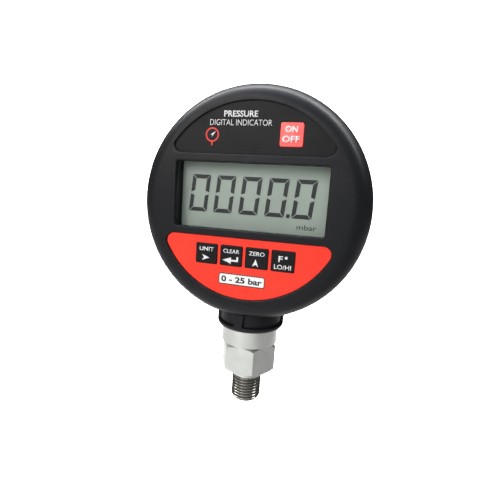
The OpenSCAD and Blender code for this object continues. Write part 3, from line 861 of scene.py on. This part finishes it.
def lettering(name, text, x, z, width, height, depth, material, body="gauge", weight=0.0, dome=None):
    """One line of print, centred at x, z from the dial's centre and scaled to a width and height.

    weight thickens the strokes, and dome gives how far the film under the print stands out.
    """
    data = bpy.data.curves.new(name, "FONT")
    data.body = text
    data.size = 1.0
    data.offset = weight
    data.resolution_u = 4
    source = bpy.data.objects.new(name, data)
    bpy.context.scene.collection.objects.link(source)
    bpy.context.view_layer.update()
    graph = bpy.context.evaluated_depsgraph_get()
    flat = bpy.data.meshes.new_from_object(source.evaluated_get(graph))
    bpy.data.objects.remove(source)
    xs = [v.co.x for v in flat.vertices]
    ys = [v.co.y for v in flat.vertices]
    wide, tall = max(xs) - min(xs), max(ys) - min(ys)
    surface_at = dome or (lambda u, v: 0.0)
    for v in flat.vertices:
        u = x + ((v.co.x - min(xs)) / wide - 0.5) * width
        w = z + ((v.co.y - min(ys)) / tall - 0.5) * height
        v.co = Vector((u, FRONT + depth - surface_at(u, w) - INK, DIAL_Z + w)) * MM
    solid = bmesh.new()
    solid.from_mesh(flat)
    bmesh.ops.recalc_face_normals(solid, faces=solid.faces)
    grown = bmesh.ops.extrude_face_region(solid, geom=solid.faces[:])
    moved = [g for g in grown["geom"] if isinstance(g, bmesh.types.BMVert)]
    bmesh.ops.translate(solid, verts=moved, vec=(0, 2 * INK * MM, 0))
    bmesh.ops.recalc_face_normals(solid, faces=solid.faces)
    solid.to_mesh(flat)
    solid.free()
    flat.name = name
    flat.materials.clear()
    flat.materials.append(material)
    made = bpy.data.objects.new(name, flat)
    bpy.context.scene.collection.objects.link(made)
    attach(made, body)


DART = ((0.5, 0), (-0.5, 0.5), (-0.22, 0), (-0.5, -0.5))  # in shares of its length and width


def dart(x, z, length, width, angle):
    """A dart-shaped arrow head pointing along an angle in degrees."""
    a = math.radians(angle)
    cos, sin = math.cos(a), math.sin(a)
    points = []
    for c, s in DART:
        points.append((x + length * c * cos - width * s * sin, z + length * c * sin + width * s * cos))
    return points


LABEL_DEPTH = LABEL_FRONT - FRONT
TITLE = (
    # name, text, x, z, width, height, weight
    ("title_line_1", "PRESSURE", -4.7, 33.65, 13.2, 2.3, 0.022),
    ("title_line_2", "DIGITAL INDICATOR", -4.7, 30.5, 24.2, 2.15, -0.008),
)
SYMBOL_X, SYMBOL_Z = -15.7, 25.9
SYMBOL_R, SYMBOL_INNER_R = 2.7, 2.15
SYMBOL_STEM = 0.28  # half its width
NEEDLE_OFF = 0.45  # the needle's middle, right of and above the ring's


def make_title():
    for name, text, x, z, width, height, weight in TITLE:
        lettering(name, text, x, z, width, height, LABEL_DEPTH, WHITE_INK, weight=weight)


def make_gauge_symbol():
    """The drawing symbol of a pressure gauge: a ring on a short stem, with a needle."""
    x, z = SYMBOL_X, SYMBOL_Z
    ring = [disc(x, z, r, 48) for r in (SYMBOL_R, SYMBOL_INNER_R)]
    left, right, top, bottom = x - SYMBOL_STEM, x + SYMBOL_STEM, z - 2.6, z - 4.0
    stem = [[(left, top), (right, top), (right, bottom), (left, bottom)]]
    needle = [dart(x + NEEDLE_OFF, z + NEEDLE_OFF, 2.6, 0.9, 45)]
    flat_piece("gauge_symbol_ring", [ring, stem], LABEL_DEPTH - INK, 2 * INK, RED_INK)
    flat_piece("gauge_symbol_needle", [needle], LABEL_DEPTH - INK, 2 * INK, WHITE_INK)


PLATE_CORNER = 1.0
BORDER = 0.35


def make_range_plate():
    """The white plate over the lower label, with its border and its range."""
    low, high = box_mm("range_plate")
    x, z = (low.x + high.x) / 2, (low.z + high.z) / 2 - DIAL_Z
    w, h = high.x - low.x, high.z - low.z
    depth = low.y - FRONT
    shell = Shell()
    loops = []
    for inset, level in ((0.0, high.y - FRONT), (0.0, depth + 0.03), (0.03, depth), (0.5, depth)):
        outline = rounded_rect(x, z, w - 2 * inset, h - 2 * inset, PLATE_CORNER - inset)
        loops.append(shell.loop(on_dial(outline, level)))
    shell.skin(loops)
    shell.fill(loops[0])
    shell.fill(loops[-1])
    plate = shell.piece("range_plate_film", WHITE_FILM)
    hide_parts("range_plate")
    outside = rounded_rect(x, z, w, h, PLATE_CORNER)
    border = [outside, rounded_rect(x, z, w - 2 * BORDER, h - 2 * BORDER, PLATE_CORNER - BORDER)]
    flat_piece("range_plate_border", [border], depth - INK, 2 * INK, BLACK_INK)
    lettering("range_text", "0 - 25 bar", x, z - 0.05, w * 0.88, 2.4, depth, BLACK_INK, weight=0.032)


# ---------------------------------------------------------------- keys

KEY_CORNER = 0.85
KEY_EDGE = 0.28  # radius along the edge of a key
DOME = 0.16  # height of the embossed dome
DOME_SHARE = 0.48  # a dome's radius as a share of the key's smaller side
DOME_TOP = 0.45  # share of that radius over which the dome is flat
DOME_STEPS = 24
FLANGE_W, FLANGE_H = 1.1, 1.8  # how much wider and taller a key's flange is than its cap
FLANGE_THICK = 0.8
COVER_THICK = 2.7  # from the cover's face to its inside, where the flanges rest
KEY_STEM_R = 2.4


def key_face(node):
    """Centre, width, height and front of a key's cap."""
    low, high = box_mm(node)
    x, z = (low.x + high.x) / 2, (low.z + high.z) / 2 - DIAL_Z
    return x, z, high.x - low.x - FLANGE_W, high.z - low.z - FLANGE_H, low.y - FRONT


def dome_height(x, z, radius):
    """How far the film stands out at a point of the key: a round dome with a soft foot."""
    return lambda u, v: DOME * (1 - smoothstep(math.hypot(u - x, v - z), radius * DOME_TOP, radius))


def make_key(node, body, material):
    """A key: the printed cap with its dome, the flange behind the cover and the stem to the switch."""
    x, z, w, h, front = key_face(node)
    rise = dome_height(x, z, min(w, h) * DOME_SHARE)
    shell = Shell()
    stem_end = box_mm(node)[1].y - FRONT
    flange_front = box_mm("front_cover")[0].y - FRONT + COVER_THICK
    flange_back = flange_front + FLANGE_THICK
    loops = []

    def level(outline, depth):
        loops.append(shell.loop(on_dial(outline, depth)))

    def rect(width, height, corner):
        return rounded_rect(x, z, width, height, corner, steps=5)

    count = len(rect(w, h, KEY_CORNER))
    stem = disc(x, z, KEY_STEM_R, count)
    flange = rect(w + FLANGE_W, h + FLANGE_H, KEY_CORNER)
    level(stem, stem_end)
    level(stem, flange_back)
    level(flange, flange_back)
    level(flange, flange_front)
    level(rect(w, h, KEY_CORNER), flange_front)
    face = front + DOME
    for i in range(6):
        a = math.radians(90 * i / 5)
        inset = KEY_EDGE * (1 - math.cos(a))
        outline = rect(w - 2 * inset, h - 2 * inset, KEY_CORNER - inset)
        level(outline, face + KEY_EDGE * (1 - math.sin(a)))
    edge = rect(w - 2 * KEY_EDGE, h - 2 * KEY_EDGE, KEY_CORNER - KEY_EDGE)
    for i in range(1, DOME_STEPS):
        share = 1 - i / DOME_STEPS
        outline = [(x + (u - x) * share, z + (v - z) * share) for u, v in edge]
        loops.append(shell.loop([(u, FRONT + face - rise(u, v), DIAL_Z + v) for u, v in outline]))
    shell.skin(loops)
    shell.fill(loops[0])
    centre = shell.loop([(x, FRONT + face - DOME, DIAL_Z + z)])[0]
    last = loops[-1]
    shell.faces += [(last[i], last[(i + 1) % count], centre) for i in range(count)]
    key = shell.piece(node + "_cap", material, body=body, sharp=50)
    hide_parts(node)
    return x, z, face, rise


def key_print(name, outlines, face, body):
    """A small flat mark on a key, level with the top of its dome."""
    shell = Shell()
    for outline in outlines:
        front = shell.loop(on_dial(outline, face - DOME - INK))
        back = shell.loop(on_dial(outline, face + INK))
        shell.fill(front)
        shell.fill(back)
        shell.skin([front, back])
    shell.piece(name, WHITE_INK, body=body)


def make_printed_key(node, body, material, words):
    """A key with its words, each given as (name, text, right, up, width, height, weight).

    right and up are measured from the key's middle.
    """
    x, z, face, rise = make_key(node, body, material)
    for name, text, right, up, width, height, weight in words:
        lettering(name, text, x + right, z + up, width, height, face, WHITE_INK, body, weight, rise)
    return x, z, face


def make_power_key():
    words = [("power_print_on", "ON", -0.2, 1.9, 4.6, 2.3, 0.03)]
    words += [("power_print_off", "OFF", -0.2, -1.6, 6.4, 2.3, 0.03)]
    make_printed_key("power_key", "power_button", RED_KEY, words)


def make_row_keys():
    """The four black keys, from left to right, each with its words and its mark."""
    words = [("units_print", "UNIT", 0, 1.85, 6.0, 1.6, 0.012)]
    x, z, face = make_printed_key("units_key", "units_button", BLACK_KEY, words)
    key_print("units_arrow", [dart(x - 0.2, z - 1.6, 3.2, 2.4, 0)], face, "units_button")

    words = [("clear_print", "CLEAR", 0, 1.85, 6.6, 1.6, 0.012)]
    x, z, face = make_printed_key("clear_key", "clear_button", BLACK_KEY, words)
    head = [(x - 3.4, z - 1.8), (x + 0.1, z - 0.55), (x + 0.1, z - 3.05)]
    tail = [(x + 0.1, z - 2.15), (x + 3.0, z - 2.15), (x + 3.0, z - 0.2)]
    tail += [(x + 2.3, z - 0.2), (x + 2.3, z - 1.45), (x + 0.1, z - 1.45)]
    key_print("clear_arrow", [head, tail], face, "clear_button")

    words = [("zero_print", "ZERO", 0, 1.85, 6.3, 1.6, 0.012)]
    x, z, face = make_printed_key("zero_key", "zero_button", BLACK_KEY, words)
    key_print("zero_arrow", [dart(x - 0.3, z - 1.75, 3.0, 2.5, 90)], face, "zero_button")

    words = [("function_print", "F", -0.9, 0.9, 1.7, 2.3, 0.02)]
    words += [("function_print_small", "LO/HI", 0, -2.2, 6.6, 1.8, 0.015)]
    x, z, face = make_printed_key("function_key", "function_button", BLACK_KEY, words)
    key_print("function_dot", [disc(x + 1.2, z + 1.5, 0.55, 20)], face, "function_button")


# ---------------------------------------------------------------- display

DIGIT_W, DIGIT_H, STROKE, GAP = 7.9, 15.0, 1.65, 0.18
DIGIT_COUNT, DIGIT_PITCH = 5, 10.75
FIRST_DIGIT_X, DIGIT_BASE = -26.75, -3.9
SLANT = math.tan(math.radians(5.2))
POINT, POINT_LEAN = 1.5, 0.15  # the decimal point
POINT_X = FIRST_DIGIT_X + DIGIT_PITCH * 4 - 2.05
GLASS_CORNER = 0.6


def zero_segments(x):
    """The six lit bars of a 0, each a mitred outline, leaning to the right."""
    w, h, t, g = DIGIT_W, DIGIT_H, STROKE, GAP
    top = [(g, h), (w - g, h), (w - t - g, h - t), (t + g, h - t)]
    upper = [(0, h - g), (t, h - t - g), (t, h / 2 + t / 2 + g), (0, h / 2 + 2 * g)]
    left = [upper, [(u, h - v) for u, v in upper]]
    right = [[(w - u, v) for u, v in bar] for bar in left]
    bars = [top, [(u, h - v) for u, v in top]] + left + right
    return [[(x + u + SLANT * v, DIGIT_BASE + v) for u, v in bar] for bar in bars]


def make_display():
    """The reflector of the liquid crystal glass, with the lit segments a little in front of it."""
    low, high = box_mm("lcd_glass")
    w, h = high.x - low.x, high.z - low.z
    z = (low.z + high.z) / 2 - DIAL_Z
    front = low.y - FRONT
    shell = Shell()
    loops = []
    for inset, depth in ((0.0, high.y - FRONT), (0.0, front + 0.3), (0.2, front + 0.1)):
        outline = rounded_rect(0, z, w - 2 * inset, h - 2 * inset, GLASS_CORNER)
        loops.append(shell.loop(on_dial(outline, depth)))
    shell.skin(loops)
    shell.fill(loops[0])
    shell.fill(loops[-1])
    reflector = shell.piece("lcd_reflector_plate", REFLECTOR)
    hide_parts("lcd_glass")
    bars = []
    for i in range(DIGIT_COUNT):
        bars += [[bar] for bar in zero_segments(FIRST_DIGIT_X + DIGIT_PITCH * i)]
    left, top = POINT_X + POINT_LEAN, DIGIT_BASE + POINT
    bars.append([[(POINT_X, DIGIT_BASE), (POINT_X + POINT, DIGIT_BASE), (left + POINT, top), (left, top)]])
    flat_piece("lcd_segments", bars, front + 0.03, 0.05, SEGMENT)
    lettering("lcd_unit", "mbar", 22.6, -7.1, 7.6, 2.0, front + 0.06, SEGMENT)


# ---------------------------------------------------------------- stem

ADAPTER_TOP = box_mm("hex_adapter")[1].z
HEX_AF = 22.0
HEX_TURN = -6.0
HEX_Z = 15.0
HEX_TOP = box_mm("adapter_seal")[0].z
HEX_CUT = 0.1  # how far its corners are rubbed down
HEX_CHAMFER_R = HEX_AF / 2 - 0.2
HEX_CHAMFER_SLOPE = math.tan(math.radians(30))
THREAD_R = 13.157 / 2
THREAD_DEPTH = 0.856
PITCH = 1.337
PITCH_ROWS = 18
THREAD_TOP = 11.3
SHANK_R = 7.1
SPIGOT_R = 9.6
PORT_R, PORT_LEN, PASSAGE_R = 2.5, 12.0, 1.25
CUP_R, CUP_DEPTH = 4.5, 2  # the recess in its top
START_DROP, START_SLOPE = 0.35, 0.75  # chamfer at the start of the thread
TURN_EDGE = 0.3  # chamfer on the turned edges
ADAPTER_COUNT = 180


def hex_radius(angle):
    """Distance from the axis to the hexagon's side, with its corners rubbed down a little."""
    off = (angle - HEX_TURN) % 60 - 30
    corner = HEX_AF / 2 / math.cos(math.radians(30)) - HEX_CUT
    return min(HEX_AF / 2 / math.cos(math.radians(off)), corner)


def thread_radius(angle, z):
    """Radius of the helical thread, with a chamfered start."""
    phase = ((z - PITCH * angle / 360) / PITCH) % 1.0
    ridge = smoothstep(1 - abs(2 * phase - 1), 0.06, 0.94)
    root = THREAD_R - THREAD_DEPTH
    r = root + THREAD_DEPTH * ridge
    start = root - START_DROP + START_SLOPE * z
    return min(r, start)


def hexagon_rows():
    """The hexagon from its lower chamfer to its upper one, as rows of (radius, height) for each angle."""
    radii = [hex_radius(360 * i / ADAPTER_COUNT) for i in range(ADAPTER_COUNT)]
    sides = [(r, (r - HEX_CHAMFER_R) * HEX_CHAMFER_SLOPE) for r in radii]
    return [
        [(HEX_CHAMFER_R, HEX_Z)] * ADAPTER_COUNT,
        [(r, HEX_Z + cut) for r, cut in sides],
        [(r, HEX_TOP - cut) for r, cut in sides],
        [(HEX_CHAMFER_R, HEX_TOP)] * ADAPTER_COUNT,
    ]


def make_adapter():
    """The adapter as one closed skin: up the outside from the thread, and down the bore."""
    shell = Shell()
    shank = [(SHANK_R - 0.5, THREAD_TOP + 0.25), (SHANK_R, THREAD_TOP + 0.8)]
    shank += [(SHANK_R, HEX_Z - TURN_EDGE), (SHANK_R + TURN_EDGE, HEX_Z)]
    spigot = [(SPIGOT_R, HEX_TOP), (SPIGOT_R, ADAPTER_TOP - TURN_EDGE), (SPIGOT_R - TURN_EDGE, ADAPTER_TOP)]
    cup = [(CUP_R, ADAPTER_TOP), (CUP_R, ADAPTER_TOP - CUP_DEPTH), (PASSAGE_R, ADAPTER_TOP - CUP_DEPTH)]
    port = [(PASSAGE_R, PORT_LEN), (PORT_R, PORT_LEN), (PORT_R, TURN_EDGE), (PORT_R + TURN_EDGE, 0.0)]
    row_gap = PITCH / PITCH_ROWS
    loops = []
    for z in [row_gap * i for i in range(int(THREAD_TOP / row_gap) + 1)]:
        loops.append(shell.loop(stem_ring(lambda a, z=z: thread_radius(a, z), z, ADAPTER_COUNT)))
    loops += [shell.loop(stem_ring(r, z, ADAPTER_COUNT)) for r, z in shank]
    for row in hexagon_rows():
        points = []
        for i, (r, z) in enumerate(row):
            a = 2 * math.pi * i / ADAPTER_COUNT
            points.append((r * math.cos(a), r * math.sin(a), z))
        loops.append(shell.loop(points))
    loops += [shell.loop(stem_ring(r, z, ADAPTER_COUNT)) for r, z in spigot + cup + port]
    shell.skin(loops + [loops[0]])
    adapter = shell.piece("adapter_with_thread", STEEL, sharp=24)
    # The thread's faces take the darker steel, whose colour is painted shade standing in for the shade in its
    # grooves
    adapter.data.materials.append(THREAD_METAL_PAINTED_SHADE)
    thread_end = (THREAD_TOP + 0.3) * MM
    for face in adapter.data.polygons:
        if max(adapter.data.vertices[i].co.z for i in face.vertices) < thread_end:
            face.material_index = 1
    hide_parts("hex_adapter")


SHOULDER_Z = 44.5  # where the collar steps in to the part that goes through the case
INNER_R = 8.0
COLLAR_BORE_R = 3.0
SOCKET_R = SPIGOT_R + 0.1
SOCKET_TOP = 40.5


def make_sensor_body():
    """The collar, with the socket for the adapter below and the part in the case above."""
    r, bottom, top = COLLAR_R, COLLAR_LOW.z, COLLAR_HIGH.z
    profile = [(SOCKET_R, bottom), (r - 0.35, bottom), (r - 0.1, bottom + 0.1), (r, bottom + 0.35)]
    profile += [(r, SHOULDER_Z), (INNER_R, SHOULDER_Z), (INNER_R, top - 0.4), (INNER_R - 0.4, top)]
    profile += [(COLLAR_BORE_R, top), (COLLAR_BORE_R, SOCKET_TOP), (SOCKET_R, SOCKET_TOP)]
    body = turned("sensor_collar", profile, STEEL, sharp=40)
    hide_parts("sensor_body")


# ---------------------------------------------------------------- build

make_camera()
make_studio()
make_floor()
finish_cad_nodes()
make_boot()
make_title()
make_gauge_symbol()
make_range_plate()
make_power_key()
make_row_keys()
make_display()
make_sensor_body()
make_adapter()
